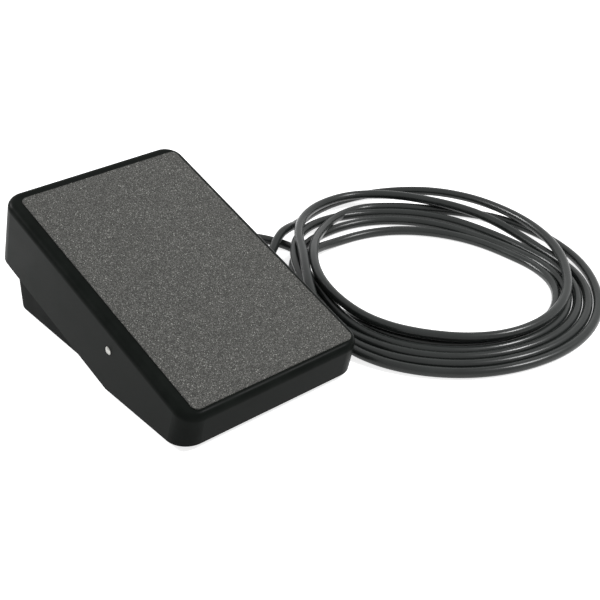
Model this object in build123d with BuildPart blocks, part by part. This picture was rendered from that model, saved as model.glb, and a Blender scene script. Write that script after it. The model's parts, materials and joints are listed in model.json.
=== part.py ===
"""Welding foot pedal: a rocker cover over a floor tray, with its sensor drive, cord and plug.

Millimetres, +Z up, +Y towards the toe end, +X towards the side that the cord leaves.
The origin is on the floor, under the middle of the pedal.
"""

import os
from math import atan, cos, degrees, pi, radians, sin, sqrt, tan

from build123d import *

os.makedirs("parts", exist_ok=True)

# Rocker cover
PEDAL_WIDTH = 150.0
COVER_LENGTH = 235.6
SKIRT_DEPTH = 54.0
COVER_TILT = 17.0
COVER_DRAFT = 1.8
COVER_WALL = 2.5
COVER_CORNER = 16.0
TOP_EDGE = 5.5
HEEL_HEIGHT = 31.05
SKIRT_GAP = 4.2

# Grip pad on the cover
PAD_THICKNESS = 0.8
PAD_CORNER = 4.5
PAD_LEFT = 9.9
PAD_RIGHT = 5.4
PAD_TOE = 10.0
PAD_HEEL = 5.4

# Pivot
PIVOT_ALONG = COVER_LENGTH / 2 - 30.6
PIVOT_DEPTH = 18.1
PIN_DIAMETER = 6.0
PIN_PROUD = 1.5
TRAVEL = 15.0
RUNNING_GAP = 0.05
BUSH_WALL = 1.5
BUSH_FLANGE = 1.2
BUSH_RIM = 4.0
SIDE_GAP = 0.4
RING_THICKNESS = 1.0
RING_DIAMETER = 10.4
RING_OPENING = 4.4
RING_GROOVE = 0.5

# Floor tray
TRAY_SIDE_GAP = 7.0
TRAY_HEEL_GAP = 1.6
TRAY_TOE_GAP = 9.6
TRAY_WALL = 2.5
TRAY_FLOOR = 3.0
TRAY_HEIGHT = 49.0
TRAY_CORNER = 9.0
TRAY_BOTTOM_EDGE = 4.0
RIM_CLEARANCE = 2.0
FOOT_PROUD = 1.5
FOOT_RECESS = 1.5
FOOT_DIAMETER = 16.0
FOOT_INSET = 22.0
BOSS_LENGTH = 5.0

# Sensor drive
MODULE = 1.0
PRESSURE_ANGLE = 25.0
ADDENDUM = 0.8
DEDENDUM = 1.0
BACKLASH = 0.16
SECTOR_REACH = COVER_LENGTH / 2 - 7.8
SECTOR_FULL_TEETH = round(2 * SECTOR_REACH / MODULE)
SECTOR_TEETH_BELOW = 3
SECTOR_TEETH_ABOVE = 11
PINION_TEETH = 14
MESH_ANGLE = 4.0
SECTOR_X = 0.18 * PEDAL_WIDTH
SECTOR_THICKNESS = 6.0
SECTOR_RIM = 9.0
SECTOR_HUB = 8.5
SECTOR_SPOKE = 7.0
SECTOR_WINDOW_START = 45.0
FLANGE_TOP = 9.0
FLANGE_THICKNESS = 3.0
FLANGE_WIDTH = 2 * (SECTOR_X - 14.0)
FLANGE_START = 18.0
FLANGE_END = SECTOR_REACH - 18.0
FLANGE_HOLE_INSET = 10.0
PINION_WIDTH = 8.0
PINION_HUB_DIAMETER = 11.0
PINION_HUB_LENGTH = 4.0
SHAFT_DIAMETER = 6.0

# Potentiometer and its bracket
POT_DIAMETER = 17.0
POT_LENGTH = 12.0
POT_BUSHING_DIAMETER = 9.0
POT_BUSHING_LENGTH = 5.0
POT_NUT_FLATS = 12.0
POT_NUT_HEIGHT = 2.2
POT_WASHER = 0.5
POT_LUG = (7.0, 2.4, 0.8)
LUG_STEP = 5.0
LUG_INSIDE = 2.5
BRACKET_STEEL = 1.5
BRACKET_WIDTH = 24.0
BRACKET_TO_CLAMP = 3.2
BRACKET_ABOVE = 8.5
BRACKET_BOSS = 4.0
BRACKET_SCREW = 5.4

# Limit switch
SWITCH_SIZE = (10.3, 27.8, 15.9)
SWITCH_X = 41.0 - PEDAL_WIDTH / 2
SWITCH_Y = 43.8 - COVER_LENGTH / 2
SWITCH_LIFT = 0.5
SWITCH_HOLE_SPACING = SWITCH_SIZE[1] - 5.6
SWITCH_HOLE_HEIGHT = 3.0
PLUNGER_DIAMETER = 2.2
PLUNGER_PROUD = 1.4
PLUNGER_OFFSET = 5.0
LEVER_THICKNESS = 0.5
LEVER_WIDTH = 4.0
LEVER_ROLL = 1.2
LEVER_LENGTH = 24.0
LEVER_TILT = 4.0
STRIKER_DIAMETER = 8.0

# Screws
SCREW_DIAMETER = 3.0
SCREW_HEAD = 5.6
SCREW_HEAD_HEIGHT = 2.0
SCREW_BITE = 7.0
SCREW_BOSS = 8.0
SCREW_CLEARANCE = 0.2
THREAD_GAP = 0.05

# Return spring and stops
SPRING_Y = COVER_LENGTH / 2 - 87.3
SPRING_WIRE = 1.8
SPRING_DIAMETER = 20.0
SPRING_TURNS = 5
SPRING_BOTTOM = 6.0
SPRING_TOP = 46.0
SPRING_POST_WALL = 2.5
SPRING_NIPPLE = 12.0
SPRING_NIPPLE_LENGTH = 5.0
BUMPER_DIAMETER = 12.0
BUMPER_BODY = 4.0
BUMPER_STEM = 5.0
BUMPER_STEM_LENGTH = 6.0
HEEL_BUMPER_X = PEDAL_WIDTH / 2 - 33.0
HEEL_BUMPER_Y = 21.8 - COVER_LENGTH / 2
TOE_BUMPER_Y = COVER_LENGTH / 2 - 16.3
SEAT_GAP = 0.3

# Cord
CORD_DIAMETER = 7.5
EXIT_Y = COVER_LENGTH / 2 - 35.8
EXIT_Z = 12.0
RELIEF_DIAMETER = 12.0
RELIEF_TIP_DIAMETER = 9.5
RELIEF_COLLAR = 14.6
RELIEF_COLLAR_THICKNESS = 2.4
RELIEF_RINGS = 5
RELIEF_SLOT = 1.6
RELIEF_BORE_GAP = 0.05
NOTCH_MARGIN = 2.6
NOTCH_HEADROOM = 3.0
JACKET_INSIDE = 14.0
CLAMP_LENGTH = 6.5
CLAMP_INSET = 3.4
CLAMP_STRAP = 2.0
CLAMP_WIDTH = 26.0
WIRE_DIAMETER = 1.4
WIRE_BEND = 7.0
COIL_HEIGHT = 24.0
COIL_EDGE = 7.0
COIL_LIFT = 0.05
COIL_BEND = 30.0
LARGEST_BEND = 90.0

# Plug
PLUG_DIAMETER = 19.0
PLUG_GRIP_DIAMETER = 17.4
PLUG_SHELL_LENGTH = 26.0
PLUG_RING_LENGTH = 14.0
PLUG_RING_BORE = 16.0
PLUG_CLAMP_LENGTH = 12.0
PLUG_CLAMP_DIAMETER = 14.0
PLUG_INSERT_LENGTH = 12.0
PLUG_FLUTES = 20
PLUG_PINS = 5
PLUG_PIN_DIAMETER = 1.6
PLUG_PIN_CIRCLE = 8.0
PLUG_CORD_INSIDE = 7.0
PLUG_STEP = 0.6
PLUG_WALL = 2.0

# Lead from the strain relief to the coil: points chosen by hand
LEAD_ROUTE = [
    (98.0, EXIT_Y, EXIT_Z),
    (116.5, EXIT_Y, EXIT_Z),
    (136.0, 72.0, 6.6),
    (147.5, 54.5, 3.9),
    (148.5, 34.0, 3.85),
]

# Tail from the coil to the plug: points chosen by hand
TAIL_ROUTE = [
    (157.5, 65.0, 12.6),
    (143.5, 60.0, 12.9),
    (124.0, 46.0, 7.6),
    (107.5, 36.0, 4.4),
    (96.0, 22.5, 4.6),
    (90.0, 6.5, 8.6),
    (89.0, -8.0, PLUG_DIAMETER / 2),
    (89.0, -22.0, PLUG_DIAMETER / 2),
]

# Coil: its outermost and innermost passes on the floor, points chosen by hand
COIL_OUTER = [
    (334.0, -54.0), (336.0, -4.0), (329.0, 30.0), (303.0, 58.0), (250.0, 87.0), (200.0, 91.5),
    (165.0, 74.0), (137.0, 35.0), (118.0, -5.0), (105.0, -55.0), (88.0, -97.0), (95.0, -138.0),
    (130.0, -172.0), (183.0, -193.5), (236.0, -188.0), (276.0, -159.0), (313.0, -107.0),
]
COIL_INNER = [
    (155.0, 28.0), (190.0, 32.0), (224.0, 20.0), (252.0, -4.0), (266.0, -30.0), (275.0, -72.0),
    (273.0, -110.0), (257.0, -140.0), (230.0, -152.0), (205.0, -154.5), (176.0, -150.0),
    (154.0, -130.0), (136.0, -93.0), (122.0, -50.0), (134.0, -1.5),
]

# Derived places
TILT = radians(COVER_TILT)
DRAFT_RUN = SKIRT_DEPTH * tan(radians(COVER_DRAFT))
COVER_TOP_WIDTH = PEDAL_WIDTH - 2 * DRAFT_RUN
TOE_REACH = COVER_LENGTH * cos(TILT) + SKIRT_DEPTH * sin(TILT) + DRAFT_RUN * cos(TILT)
EDGE_ALONG = TOP_EDGE / cos(radians(COVER_DRAFT)) - TOP_EDGE * tan(radians(COVER_DRAFT))
HEEL_SETBACK = EDGE_ALONG * cos(TILT) + TOP_EDGE * sin(TILT) - TOP_EDGE
HEEL_Y = -(TOE_REACH + HEEL_SETBACK) / 2

TOP = Plane(origin=(0, HEEL_Y, HEEL_HEIGHT), x_dir=(1, 0, 0), z_dir=(0, -sin(TILT), cos(TILT)))
SLOPE_UP = Axis(origin=(0, 0, 0), direction=(0, -sin(TILT), cos(TILT)))


def on_slope(along: float, above: float) -> tuple[float, float]:
    """Y and Z of a place on the cover's mid line: along from the heel, above the top."""
    y = HEEL_Y + along * cos(TILT) - above * sin(TILT)
    z = HEEL_HEIGHT + along * sin(TILT) + above * cos(TILT)
    return y, z


def ceiling_height(y: float, below: float = 0.0) -> float:
    """Z of the cover's inner ceiling above y, less a distance measured square to it."""
    return HEEL_HEIGHT + (y - HEEL_Y) * tan(TILT) - (COVER_WALL + below) / cos(TILT)


PIVOT_Y, PIVOT_Z = on_slope(PIVOT_ALONG, -PIVOT_DEPTH)
PIVOT_TO_CEILING = PIVOT_DEPTH - COVER_WALL


def pressed_ceiling_height(y: float) -> float:
    """Z of the cover's inner ceiling above y with the toe fully down."""
    lean = TILT - radians(TRAVEL)
    return PIVOT_Z + PIVOT_TO_CEILING / cos(lean) + (y - PIVOT_Y) * tan(lean)


def from_pivot(radius: float, angle: float) -> tuple[float, float]:
    """Y and Z at a radius from the pivot and an angle in degrees above level."""
    return PIVOT_Y + radius * cos(radians(angle)), PIVOT_Z + radius * sin(radians(angle))


def across(x: float, y: float = 0.0, z: float = 0.0) -> Plane:
    """A plane square to X, with its own x along Y and its own y along Z."""
    return Plane(origin=(x, y, z), x_dir=(0, 1, 0), z_dir=(1, 0, 0))


FOOT_HALF_WIDTH = PEDAL_WIDTH / 2
TRAY_HALF_WIDTH = FOOT_HALF_WIDTH - TRAY_SIDE_GAP
TRAY_HEEL = HEEL_Y + (HEEL_HEIGHT - SKIRT_GAP) * tan(TILT) + COVER_WALL + TRAY_HEEL_GAP
TRAY_TOE = HEEL_Y + TOE_REACH - TRAY_TOE_GAP
TRAY_LENGTH = TRAY_TOE - TRAY_HEEL
TRAY_MID = (TRAY_TOE + TRAY_HEEL) / 2
TRAY_BOTTOM = FOOT_PROUD
TRAY_INSIDE = TRAY_BOTTOM + TRAY_FLOOR
TRAY_INNER_X = TRAY_HALF_WIDTH - TRAY_WALL
BOSS_FACE = TRAY_INNER_X - BOSS_LENGTH
COVER_BOSS_FACE = TRAY_HALF_WIDTH + BUSH_FLANGE + SIDE_GAP
PIN_RADIUS = PIN_DIAMETER / 2
BORE_RADIUS = PIN_RADIUS + RUNNING_GAP
BUSH_RADIUS = BORE_RADIUS + BUSH_WALL

PITCH_RADIUS = MODULE * SECTOR_FULL_TEETH / 2
PINION_RADIUS = MODULE * PINION_TEETH / 2
TOOTH_STEP = 360.0 / SECTOR_FULL_TEETH
PINION_Y, PINION_Z = from_pivot(PITCH_RADIUS + PINION_RADIUS, MESH_ANGLE)
HALF_TOOTH = pi * MODULE / 4 - BACKLASH / 4
PINION_LEFT = SECTOR_X - PINION_WIDTH / 2
PINION_RIGHT = SECTOR_X + PINION_WIDTH / 2
HUB_LEFT = PINION_LEFT - PINION_HUB_LENGTH
BUSHING_LEFT = PINION_RIGHT + 1.0
POT_FACE = BUSHING_LEFT + POT_BUSHING_LENGTH
BRACKET_LEFT = POT_FACE - BRACKET_STEEL
CLAMP_LEFT = TRAY_INNER_X - RELIEF_COLLAR_THICKNESS - CLAMP_INSET - CLAMP_LENGTH
BRACKET_FOOT = CLAMP_LEFT - BRACKET_TO_CLAMP - POT_FACE
BRACKET_HOLE_INSET = BRACKET_FOOT / 2 + 0.3
TOE_BUMPER_X = POT_FACE + BRACKET_FOOT + 2.5
FLANGE_HOLES_ALONG = (FLANGE_START + FLANGE_HOLE_INSET, FLANGE_END - FLANGE_HOLE_INSET)
FLANGE_HOLE_SIDE = (SECTOR_THICKNESS + SCREW_HEAD) / 2 + 2.2

RELIEF_TIP = LEAD_ROUTE[0][0]
JACKET_END = TRAY_INNER_X - JACKET_INSIDE
CORD_RADIUS = CORD_DIAMETER / 2


def corner_radii(route: list[tuple[float, float, float]]) -> list[float]:
    """The arc at each corner of a cord's route: 0.45 of the shorter run over tan(half turn)."""
    points = [Vector(*p) for p in route]
    radii = []
    for before, here, after in zip(points, points[1:], points[2:]):
        turn = radians((here - before).get_angle(after - here))
        run = min((here - before).length, (after - here).length)
        radii.append(0.45 * run / tan(turn / 2))
    return radii


def beside_pivot(along: float, above: float) -> tuple[float, float]:
    """Y and Z of a place measured from the pivot along and square to the cover's top."""
    return on_slope(PIVOT_ALONG + along, above - PIVOT_DEPTH)


def box_between(low: tuple[float, float, float], high: tuple[float, float, float]) -> None:
    """Adds a block between two opposite corners to the open part."""
    with Locations(Location(low)):
        Box(*(b - a for a, b in zip(low, high)), align=Align.MIN)


def cylinder_along(start: tuple[float, float, float], direction: tuple[float, float, float],
                   radius: float, length: float, mode: Mode = Mode.ADD) -> None:
    """Adds or cuts a round bar in the open part, from a start point along a direction."""
    with Locations(Plane(origin=start, z_dir=direction)):
        Cylinder(radius, length, align=(Align.CENTER, Align.CENTER, Align.MIN), mode=mode)


def pan_head_screw(seat: tuple[float, float, float], direction: tuple[float, float, float],
                   length: float) -> None:
    """Adds a screw to the open part: its head seats at a point, its shank runs along a direction."""
    back = tuple(-value for value in direction)
    with Locations(Plane(origin=seat, z_dir=back)):
        Cylinder(SCREW_HEAD / 2, SCREW_HEAD_HEIGHT, align=(Align.CENTER, Align.CENTER, Align.MIN))
    cylinder_along(seat, direction, SCREW_DIAMETER / 2, length)


def finish(piece: BuildPart, name: str) -> None:
    """Names a finished piece and writes it to its file."""
    piece.part.label = name
    export_step(piece.part, f"parts/{name}.step")


# Rocker cover: one moulded tray, upside down, with a draft and a rolled top edge
pin_half = COVER_TOP_WIDTH / 2 + PIVOT_DEPTH * tan(radians(COVER_DRAFT)) + PIN_PROUD
post_radius = SPRING_DIAMETER / 2 + SPRING_WIRE / 2 + 0.6
lever_hinge_y = SWITCH_Y - SWITCH_SIZE[1] / 2 + 2.0
switch_top = TRAY_INSIDE + SWITCH_LIFT + SWITCH_SIZE[2]
lever_hinge_z = switch_top + 0.7
striker_y = lever_hinge_y + LEVER_LENGTH - 2.0
striker_z = (
    lever_hinge_z + (LEVER_LENGTH - 2.0) * sin(radians(LEVER_TILT)) + LEVER_THICKNESS + SEAT_GAP
)
sector_screw_places = [
    (SECTOR_X + side * FLANGE_HOLE_SIDE, along) for along in FLANGE_HOLES_ALONG for side in (-1, 1)
]

with BuildPart() as pedal_cover:
    with BuildSketch(TOP.offset(-SKIRT_DEPTH)):
        with Locations((0, COVER_LENGTH / 2)):
            RectangleRounded(PEDAL_WIDTH, COVER_LENGTH + 2 * DRAFT_RUN, COVER_CORNER)
    extrude(amount=SKIRT_DEPTH, taper=COVER_DRAFT)
    fillet(pedal_cover.faces().sort_by(SLOPE_UP)[-1].edges(), TOP_EDGE)
    offset(amount=-COVER_WALL, openings=pedal_cover.faces().sort_by(SLOPE_UP)[0])
    split(bisect_by=Plane.XY.offset(SKIRT_GAP), keep=Keep.TOP)

    # Pin bosses inside both skirts
    for side in (-1, 1):
        with BuildSketch(across(side * COVER_BOSS_FACE)):
            with Locations((PIVOT_Y, PIVOT_Z)):
                Circle(BUSH_RADIUS + BUSH_RIM)
        extrude(amount=side * (pin_half - PIN_PROUD - COVER_WALL / 2 - COVER_BOSS_FACE))
    cylinder_along((-PEDAL_WIDTH, PIVOT_Y, PIVOT_Z), (1, 0, 0), PIN_RADIUS + THREAD_GAP,
                   2 * PEDAL_WIDTH, Mode.SUBTRACT)

    # Notch round the strain relief, as deep as the skirt travels and midway along its swing
    notch_reach = EXIT_Y - PIVOT_Y
    notch_top = EXIT_Z + RELIEF_DIAMETER / 2 + NOTCH_HEADROOM + notch_reach * sin(radians(TRAVEL))
    notch_swing = (PIVOT_Z - EXIT_Z) * sin(radians(TRAVEL)) - notch_reach * (1 - cos(radians(TRAVEL)))
    notch_radius = RELIEF_DIAMETER / 2 + NOTCH_MARGIN
    with BuildSketch(across(TRAY_HALF_WIDTH)):
        with Locations((EXIT_Y + notch_swing / 2, notch_top - notch_radius)):
            Circle(notch_radius)
            Rectangle(2 * notch_radius, notch_top, align=(Align.CENTER, Align.MAX))
    extrude(amount=FOOT_HALF_WIDTH, mode=Mode.SUBTRACT)

    # Screw bosses for the drive sector, hanging square from the ceiling
    boss_plane = TOP.offset(FLANGE_TOP - PIVOT_DEPTH)
    with BuildSketch(boss_plane):
        for x, along in sector_screw_places:
            with Locations((x, PIVOT_ALONG + along)):
                Circle(SCREW_BOSS / 2)
    extrude(amount=PIVOT_TO_CEILING - FLANGE_TOP + COVER_WALL / 2)
    with BuildSketch(boss_plane):
        for x, along in sector_screw_places:
            with Locations((x, PIVOT_ALONG + along)):
                Circle(SCREW_DIAMETER / 2 + THREAD_GAP)
    extrude(amount=SCREW_BITE - FLANGE_THICKNESS + 0.5, mode=Mode.SUBTRACT)

    # Spring post with its nipple, and the striker over the limit switch
    cylinder_along((0, SPRING_Y, SPRING_TOP + SEAT_GAP), (0, 0, 1), post_radius,
                   ceiling_height(SPRING_Y - post_radius) - SPRING_TOP + 1.0)
    cylinder_along((0, SPRING_Y, SPRING_TOP - SPRING_NIPPLE_LENGTH), (0, 0, 1), SPRING_NIPPLE / 2,
                   SPRING_NIPPLE_LENGTH + SPRING_POST_WALL)
    cylinder_along((SWITCH_X, striker_y, striker_z), (0, 0, 1), STRIKER_DIAMETER / 2,
                   ceiling_height(striker_y - STRIKER_DIAMETER / 2) - striker_z + 1.0)
finish(pedal_cover, "pedal_cover")

# Grip pad: a gritted sheet stuck on the flat of the cover's top
pad_left = -(COVER_TOP_WIDTH / 2 - PAD_LEFT)
pad_right = COVER_TOP_WIDTH / 2 - PAD_RIGHT
with BuildPart() as grip_pad:
    with BuildSketch(TOP):
        with Locations(((pad_left + pad_right) / 2, (PAD_HEEL + COVER_LENGTH - PAD_TOE) / 2)):
            RectangleRounded(pad_right - pad_left, COVER_LENGTH - PAD_TOE - PAD_HEEL, PAD_CORNER)
    extrude(amount=PAD_THICKNESS)
finish(grip_pad, "grip_pad")

# Floor tray: the fixed base that everything inside stands on
bracket_seat = TRAY_INSIDE + BRACKET_BOSS
bracket_hole_x = POT_FACE + BRACKET_FOOT - BRACKET_HOLE_INSET
bracket_holes = [(bracket_hole_x, PINION_Y + side * (BRACKET_WIDTH / 2 - 4.5)) for side in (-1, 1)]
clamp_x = CLAMP_LEFT + CLAMP_LENGTH / 2
clamp_holes = [(clamp_x, EXIT_Y + side * (CLAMP_WIDTH / 2 - 3.5)) for side in (-1, 1)]
switch_side = SWITCH_X + SWITCH_SIZE[0] / 2
switch_holes = [
    (SWITCH_Y + side * SWITCH_HOLE_SPACING / 2, TRAY_INSIDE + SWITCH_LIFT + SWITCH_HOLE_HEIGHT)
    for side in (-1, 1)
]
heel_bumper_centre = ceiling_height(HEEL_BUMPER_Y, BUMPER_DIAMETER / 2 + SEAT_GAP)
toe_bumper_centre = pressed_ceiling_height(TOE_BUMPER_Y) - BUMPER_DIAMETER / 2 - SEAT_GAP
heel_bumpers_at = [(side * HEEL_BUMPER_X, HEEL_BUMPER_Y, heel_bumper_centre) for side in (-1, 1)]
toe_bumpers_at = [(side * TOE_BUMPER_X, TOE_BUMPER_Y, toe_bumper_centre) for side in (-1, 1)]
foot_places = [
    (sx * (TRAY_HALF_WIDTH - FOOT_INSET), y)
    for y in (TRAY_HEEL + FOOT_INSET, TRAY_TOE - FOOT_INSET) for sx in (-1, 1)
]

with BuildPart() as base_tray:
    with BuildSketch(Plane.XY.offset(TRAY_BOTTOM)):
        with Locations((0, TRAY_MID)):
            RectangleRounded(2 * TRAY_HALF_WIDTH, TRAY_LENGTH, TRAY_CORNER)
    extrude(amount=TRAY_HEIGHT - TRAY_BOTTOM)
    fillet(base_tray.faces().sort_by(Axis.Z)[0].edges(), TRAY_BOTTOM_EDGE)
    with BuildSketch(Plane.XY.offset(TRAY_INSIDE)):
        with Locations((0, TRAY_MID)):
            RectangleRounded(2 * TRAY_INNER_X, TRAY_LENGTH - 2 * TRAY_WALL, TRAY_CORNER - TRAY_WALL)
    extrude(amount=TRAY_HEIGHT, mode=Mode.SUBTRACT)
    split(bisect_by=TOP.offset(-COVER_WALL - RIM_CLEARANCE), keep=Keep.BOTTOM)

    # Bush bosses in both side walls
    for side in (-1, 1):
        with BuildSketch(across(side * BOSS_FACE)):
            with Locations((PIVOT_Y, PIVOT_Z)):
                Circle(BUSH_RADIUS + BUSH_RIM)
        extrude(amount=side * (BOSS_LENGTH + TRAY_WALL / 2))
    cylinder_along((-PEDAL_WIDTH, PIVOT_Y, PIVOT_Z), (1, 0, 0), BUSH_RADIUS + THREAD_GAP,
                   2 * PEDAL_WIDTH, Mode.SUBTRACT)

    # Pockets for the rubber feet
    with BuildSketch(Plane.XY):
        with Locations(*foot_places):
            Circle(FOOT_DIAMETER / 2)
    extrude(amount=TRAY_BOTTOM + FOOT_RECESS, mode=Mode.SUBTRACT)

    # Posts under the stops, each with a hole for a bumper's stem
    for x, y, z in heel_bumpers_at + toe_bumpers_at:
        height = z - BUMPER_BODY - TRAY_INSIDE
        cylinder_along((x, y, TRAY_INSIDE), (0, 0, 1), BUMPER_DIAMETER / 2, height)
        for turn in (0, 90):
            with Locations(Location((x, y, TRAY_INSIDE), (0, 0, turn))):
                Box(BUMPER_DIAMETER * 1.5, TRAY_WALL / 2, 0.6 * height,
                    align=(Align.CENTER, Align.CENTER, Align.MIN))
        cylinder_along((x, y, z - BUMPER_BODY - BUMPER_STEM_LENGTH), (0, 0, 1), BUMPER_STEM / 2,
                       2 * BUMPER_STEM_LENGTH, Mode.SUBTRACT)

    # Cup under the spring
    cylinder_along((0, SPRING_Y, TRAY_INSIDE), (0, 0, 1), post_radius + TRAY_WALL,
                   SPRING_BOTTOM + 3.0 - TRAY_INSIDE)
    cylinder_along((0, SPRING_Y, SPRING_BOTTOM), (0, 0, 1), post_radius, 10.0, Mode.SUBTRACT)

    # Bosses under the sensor bracket
    for x, y in bracket_holes:
        cylinder_along((x, y, TRAY_INSIDE), (0, 0, 1), SCREW_BOSS / 2, BRACKET_BOSS)
        cylinder_along((x, y, TRAY_INSIDE - SEAT_GAP), (0, 0, 1), SCREW_DIAMETER / 2 + THREAD_GAP,
                       2 * BRACKET_BOSS, Mode.SUBTRACT)

    # Rib that the limit switch is screwed to
    box_between((switch_side, SWITCH_Y - SWITCH_SIZE[1] / 2, TRAY_INSIDE),
                (switch_side + 4.0, SWITCH_Y + SWITCH_SIZE[1] / 2, TRAY_INSIDE + 10.0))
    for y, z in switch_holes:
        cylinder_along((SWITCH_X, y, z), (1, 0, 0), SCREW_DIAMETER / 2 + THREAD_GAP, 20.0, Mode.SUBTRACT)

    # Cord exit and the saddle inside it
    box_between((clamp_x - CLAMP_LENGTH / 2, EXIT_Y - CLAMP_WIDTH / 2, TRAY_INSIDE),
                (clamp_x + CLAMP_LENGTH / 2, EXIT_Y + CLAMP_WIDTH / 2, EXIT_Z - 0.4))
    cylinder_along((clamp_x - CLAMP_LENGTH, EXIT_Y, EXIT_Z), (1, 0, 0), CORD_RADIUS + RELIEF_BORE_GAP,
                   2 * CLAMP_LENGTH, Mode.SUBTRACT)
    for x, y in clamp_holes:
        cylinder_along((x, y, TRAY_INSIDE), (0, 0, 1), SCREW_DIAMETER / 2 + THREAD_GAP, 20.0, Mode.SUBTRACT)
    cylinder_along((TRAY_INNER_X - 1.0, EXIT_Y, EXIT_Z), (1, 0, 0), RELIEF_DIAMETER / 2, 10.0, Mode.SUBTRACT)
finish(base_tray, "base_tray")

# Rubber feet, set into the tray's underside
with BuildPart() as rubber_feet:
    with BuildSketch(Plane.XY):
        with Locations(*foot_places):
            Circle(FOOT_DIAMETER / 2 - SCREW_CLEARANCE)
    extrude(amount=FOOT_PROUD + FOOT_RECESS)
    fillet(rubber_feet.faces().sort_by(Axis.Z)[:len(foot_places)].edges(), 0.6)
finish(rubber_feet, "rubber_feet")

# Pivot pin: a rod with domed ends and two ring grooves
ring_inner = BOSS_FACE - SEAT_GAP - RING_THICKNESS
with BuildPart() as pivot_pin:
    with BuildSketch(Plane(origin=(0, PIVOT_Y, PIVOT_Z), x_dir=(1, 0, 0), z_dir=(0, -1, 0))):
        with BuildLine():
            Line((0, 0), (pin_half, 0))
            ThreePointArc((pin_half, 0), (pin_half - 0.35, PIN_RADIUS * 0.62), (pin_half - 1.1, PIN_RADIUS))
            Polyline(
                (pin_half - 1.1, PIN_RADIUS),
                (ring_inner + RING_THICKNESS + THREAD_GAP, PIN_RADIUS),
                (ring_inner + RING_THICKNESS + THREAD_GAP, PIN_RADIUS - RING_GROOVE),
                (ring_inner - THREAD_GAP, PIN_RADIUS - RING_GROOVE),
                (ring_inner - THREAD_GAP, PIN_RADIUS),
                (0, PIN_RADIUS),
                (0, 0),
            )
        make_face()
    revolve(axis=Axis((0, PIVOT_Y, PIVOT_Z), (1, 0, 0)))
    mirror(about=Plane.YZ)
finish(pivot_pin, "pivot_pin")

# Retaining rings in the pin's grooves, open on one side
with BuildPart() as retaining_rings:
    for side in (-1, 1):
        with BuildSketch(across(side * ring_inner)):
            with Locations((PIVOT_Y, PIVOT_Z)):
                Circle(RING_DIAMETER / 2)
                Circle(PIN_RADIUS - RING_GROOVE + THREAD_GAP, mode=Mode.SUBTRACT)
                Rectangle(RING_OPENING, RING_DIAMETER, align=(Align.CENTER, Align.MAX), mode=Mode.SUBTRACT)
        extrude(amount=side * RING_THICKNESS)
finish(retaining_rings, "retaining_rings")

# Flanged bushes in the tray's walls
for side, bush_name in ((-1, "bush_left"), (1, "bush_right")):
    with BuildPart() as bush:
        cylinder_along((side * BOSS_FACE, PIVOT_Y, PIVOT_Z), (side, 0, 0), BUSH_RADIUS,
                       TRAY_HALF_WIDTH - BOSS_FACE)
        cylinder_along((side * TRAY_HALF_WIDTH, PIVOT_Y, PIVOT_Z), (side, 0, 0), BUSH_RADIUS + 2.5,
                       BUSH_FLANGE)
        cylinder_along((-PEDAL_WIDTH, PIVOT_Y, PIVOT_Z), (1, 0, 0), BORE_RADIUS, 2 * PEDAL_WIDTH,
                       Mode.SUBTRACT)
    finish(bush, bush_name)

# Drive sector: hub, web with a window, toothed rim and a flange under the cover
root_radius = PITCH_RADIUS - DEDENDUM
tip_radius = PITCH_RADIUS + ADDENDUM
lower_edge = MESH_ANGLE - TOOTH_STEP * SECTOR_TEETH_BELOW
upper_edge = MESH_ANGLE + TOOTH_STEP * SECTOR_TEETH_ABOVE
tooth_root_half = HALF_TOOTH + DEDENDUM * tan(radians(PRESSURE_ANGLE))
tooth_tip_half = HALF_TOOTH - ADDENDUM * tan(radians(PRESSURE_ANGLE))
window_end = root_radius - SECTOR_RIM


def over_lower_spoke(radius: float) -> float:
    """Angle above level, at a radius, of the upper side of the sector's lower spoke."""
    return lower_edge + degrees(SECTOR_SPOKE / radius)


def under_flange(radius: float) -> float:
    """Angle above level, at a radius, of a line one spoke below the flange."""
    return COVER_TILT + degrees((FLANGE_TOP - FLANGE_THICKNESS - SECTOR_SPOKE / 2) / radius)


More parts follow.
